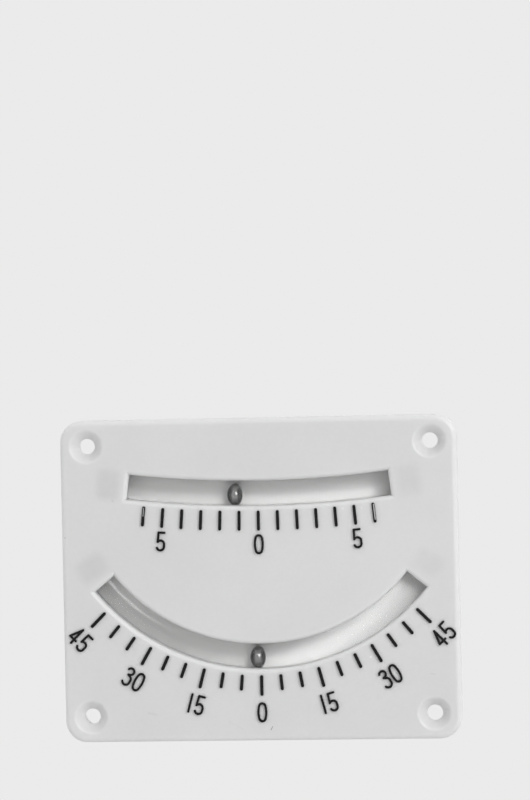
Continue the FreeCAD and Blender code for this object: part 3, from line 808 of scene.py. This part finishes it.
plain_foil = foil_finish("stamped_foil")
fine_misses = []
arc = arcs["fine"]
for reading, aside, across, half_width, half_height, share in end_lines:
    x, _, z = beside(arc, reading + aside * arc["per_mm"], across, 0)
    fine_misses.append((float(x), float(z), -math.radians(reading), half_width, half_height, share))
fine_foil = foil_finish("stamped_foil_of_the_fine_lines", fine_misses)
for node in mark_nodes:
    (fine_foil if node == "fine_lines" else plain_foil).on(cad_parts[node])

# ---- rear cover ----
# White moulding that drops onto the ledge inside the skirt, flush with its rim. A cradle on its front
# closes round the rear half of each tube. Holes clear the four bosses, and countersinks take its screws.

cover_gap = 0.15
cradle_gap = 0.1            # between a cradle's top and the channel's
cradle_y = tube_y + cradle_gap
cradle_steps = 25
cover_round = 0.2
head_radius, head_height = 1.95, 1.15
screw_radius = 1.1
seat_fit = 0.03
run, drop = quarter(cover_round, steps=4)
edge = ledge_width + cover_gap
flat_inset = edge + cover_round + support
rings = [(flat_inset, 0.0)] + [(edge + cover_round - r, -d) for r, d in zip(run, drop)]
rings += [(edge, cover_front_y + cover_round)]
rings += [(edge + d, cover_front_y + cover_round - r) for r, d in zip(run, drop)]
rings += [(flat_inset, cover_front_y)]
cover_patches = [skin(np.stack([raised(rounded_outline(i), y) for i, y in rings]), around=True)]
faces_of_cover = {y: [("cover", rounded_outline(flat_inset))] for y in (0.0, cover_front_y)}
for sx in (-1, 1):
    for sz in (-1, 1):
        x, z = hole_place * (sx, sz)
        hole = boss_radius + cover_gap
        cover_patches.append(turned([(hole, 0.0), (hole, cover_front_y)], x, z, hole_count))
        for outlines in faces_of_cover.values():
            outlines.append(("open", circle(hole, x, z, hole_count)))
faces_of_cover[cover_front_y].append(("inside", rounded_outline(skirt_wall + cover_gap)))
for scale, steps in slot_steps.items():
    arc = arcs[scale]
    angles, radii = trough_line(arc, steps)
    start = np.degrees(np.arcsin(cradle_gap / radii))[:, None]
    turn = 180 + (90 - start) * np.linspace(-1, 1, cradle_steps)
    cover_patches.append(skin(trough_wall(arc, angles, radii, turn)))
    ends, opening = trough_mouth(arc, angles, radii, turn[0], cradle_y)
    cover_patches += ends
    cradle = channel_outline(arc, steps)
    reach = plate_half[0] - skirt_wall
    cradle[:, 0] = cradle[:, 0].clip(-reach, reach)
    faces_of_cover[cover_front_y] += [("cradle", cradle), ("open", opening)]


def cover_depth(cover, flat):
    """Bare cover, or the top of a cradle where one stands inside the skirt."""
    if "open" in cover:
        return None
    return cradle_y if "cradle" in cover and "inside" in cover else flat


seat_radius, clear_radius = head_radius + seat_fit, screw_radius + cover_gap
for x, z in screw_places:
    seat = [(seat_radius, 0.0), (clear_radius, -head_height), (clear_radius, cover_front_y)]
    cover_patches.append(turned(seat, x, z, boss_count))
    faces_of_cover[0.0].append(("open", circle(seat_radius, x, z, boss_count)))
    faces_of_cover[cover_front_y].append(("open", circle(clear_radius, x, z, boss_count)))
for y, outlines in faces_of_cover.items():
    cover_patches.append(terraces(outlines, lambda cover: cover_depth(cover, y)))
rear_cover = make_piece("rear_cover_moulding", cover_patches)
matt_white = 0.77
# The rear came from a blasted mould: duller, with a fine even grain.
matt = Finish("matt_moulded_plastic")
matt_shade = matt.spread(matt.noise(18, 4), 0.97, 1.02)
matt.set("Base Color", matt.blend(matt_shade, grey(0.0), grey(matt_white)))
matt.set("Roughness", matt.spread(matt.noise(2, 4), 0.50, 0.62))
matt.set("Normal", matt.bumps(matt.noise(0.5, 4), 0.012))
matt.set("Subsurface Weight", 1.0)
matt.set("Subsurface Radius", (1.0, 1.0, 1.0))
matt.set("Subsurface Scale", 2.0 * mm)
matt.on(rear_cover)
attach(rear_cover, "case")
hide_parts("rear_cover")

# ---- cover screws ----
# Six small self-tapping screws, zinc plated, with flush countersunk heads and a cross recess.

thread_pitch, thread_depth = 0.8, 0.25
ridge_half = 0.28           # half the ridge's foot, as a share of the pitch
screw_length, point_length, point_bulge = 6.5, 1.76, 0.7
shank_rings, screw_count = 90, 32
head_bevel, bevel_height, head_land = 0.05, 0.03, 0.08
recess_span, recess_width, recess_depth, recess_taper = 2.5, 0.55, 0.6, 0.7


def cross_outline(span, width, x, z):
    """Twelve corners of a cross, anticlockwise."""
    s, w = span / 2, width / 2
    corners = [(s, -w), (s, w), (w, w), (w, s), (-w, s), (-w, w),
               (-s, w), (-s, -w), (-w, -w), (-w, -s), (w, -s), (w, -w)]
    return np.array(corners) + (x, z)


def threaded_shank(x, z):
    """Rings down the shank. The radius is the screw's less the thread's depth, and rises back to a ridge
    once a pitch, turned round the shank. Over the point's length it is multiplied by the share of that
    length that is left, to the power of the bulge."""
    depth = np.linspace(head_height, screw_length, shank_rings)[:, None]
    t = np.linspace(0, 2 * math.pi, screw_count, endpoint=False)[None, :]
    phase = (depth / thread_pitch - t / (2 * math.pi)) % 1.0
    ridge = np.clip(1 - np.abs(phase - 0.5) / ridge_half, 0, 1)
    fade = np.clip((depth - head_height) / thread_pitch, 0, 1)
    radius = screw_radius - thread_depth * (1 - ridge) * fade
    radius = radius * np.clip((screw_length - depth) / point_length, 0, 1) ** point_bulge
    points = np.stack(np.broadcast_arrays(x + radius * np.cos(t), -depth, z + radius * np.sin(t)), -1)
    return skin(points, around=True)


screw_patches = []
for x, z in screw_places:
    head = [(head_radius - head_bevel, 0.0), (head_radius, -bevel_height), (head_radius, -head_land),
            (screw_radius, -head_height)]
    screw_patches.append(turned(head, x, z, screw_count))
    screw_patches.append(threaded_shank(x, z))
    top, foot = (cross_outline(recess_span * k, recess_width * k, x, z) for k in (1.0, recess_taper))
    screw_patches.append(skin(np.stack([raised(top, 0.0), raised(foot, -recess_depth)]), around=True))
    screw_patches.append(terraces([("recess", foot)], lambda cover: -recess_depth))
    head_top = [("head", circle(head_radius - head_bevel, x, z, screw_count)), ("open", top)]
    screw_patches.append(terraces(head_top, lambda cover: None if "open" in cover else 0.0))
screws = make_piece("rear_cover_tapping_screws", screw_patches, sharp=28.0)
zinc_dull, zinc_bright = (0.60, 0.60, 0.58, 1.0), (0.70, 0.70, 0.69, 1.0)
# Turning marks run round the shank under a plating whose grey is a little patchy.
zinc = Finish("zinc_plate")
turning = zinc.noise(0.25, 3, (1, 5, 1))
zinc.set("Base Color", zinc.blend(zinc.spread(zinc.noise(1.5, 4)), zinc_dull, zinc_bright))
zinc.set("Metallic", 1.0)
zinc.set("Roughness", zinc.spread(turning, 0.28, 0.45))
zinc.set("Normal", zinc.bumps(turning, 0.01))
zinc.on(screws)
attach(screws, "case")
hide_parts("rear_cover_screws")
